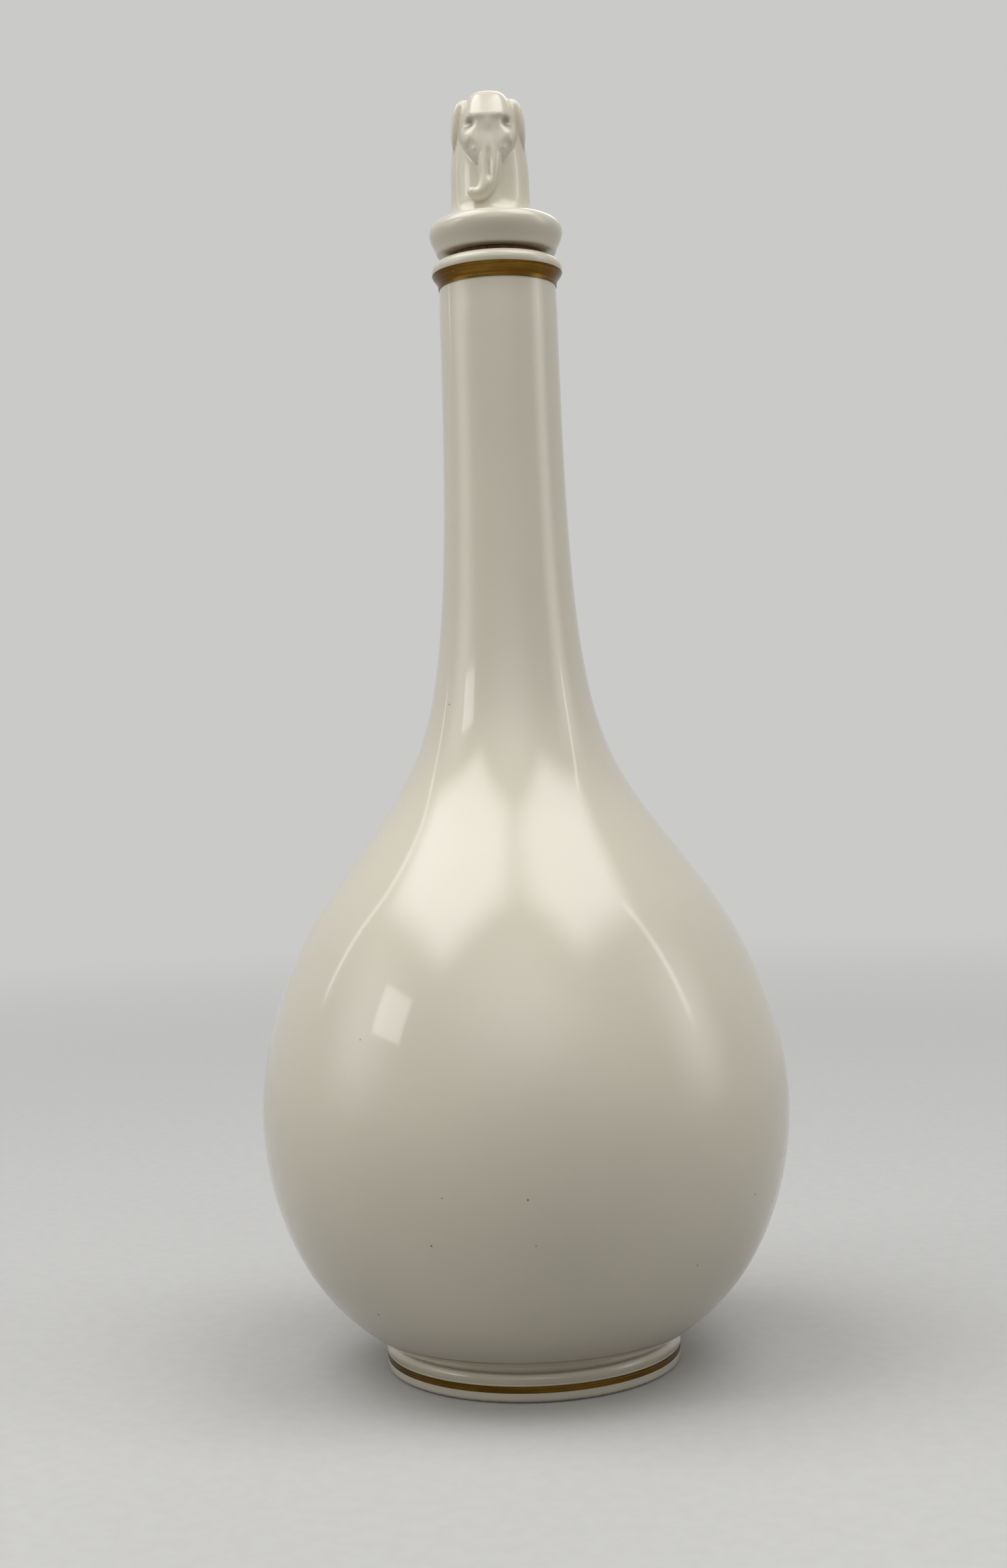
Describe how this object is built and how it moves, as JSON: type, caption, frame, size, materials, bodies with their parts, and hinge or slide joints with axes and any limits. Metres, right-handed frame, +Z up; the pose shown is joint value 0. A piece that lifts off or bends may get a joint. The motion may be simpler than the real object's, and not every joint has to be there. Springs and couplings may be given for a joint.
{
  "type": "porcelain liquor bottle",
  "caption": "Long-necked round porcelain bottle with gilded lip and foot, closed by a porcelain stopper on a cork sleeve, its finial modelled as an elephant's head.",
  "frame": {"origin": "centre of the foot ring's resting plane, on the axis of the bottle's body and neck", "axes": "+Z up along the bottle's axis, -Y towards the viewer, the way the elephant's head looks, and +X to the viewer's right"},
  "size_m": [0.118, 0.118, 0.2845],
  "materials": {
    "bottle_porcelain": "gloss",
    "stopper_porcelain": "gloss",
    "neck_gold": "polished",
    "foot_gold": "satin",
    "cork": "matte"
  },
  "bodies": {
    "bottle_body": {"bottle": "bottle_porcelain", "neck_gold_band": "neck_gold", "foot_gold_band": "foot_gold"},
    "cork": {"cork_sleeve": "cork"},
    "stopper_head": {"stopper": "stopper_porcelain"}
  },
  "joints": [
    {"name": "stopper_lift", "type": "slide", "parent": "bottle_body", "child": "cork", "axis": [0, 0, 1], "range_m": [0, 0.06]},
    {"name": "stopper_turn", "type": "hinge", "parent": "cork", "child": "stopper_head", "pos_m": [0, 0, 0.2469], "axis": [0, 0, 1], "continuous": true}
  ]
}
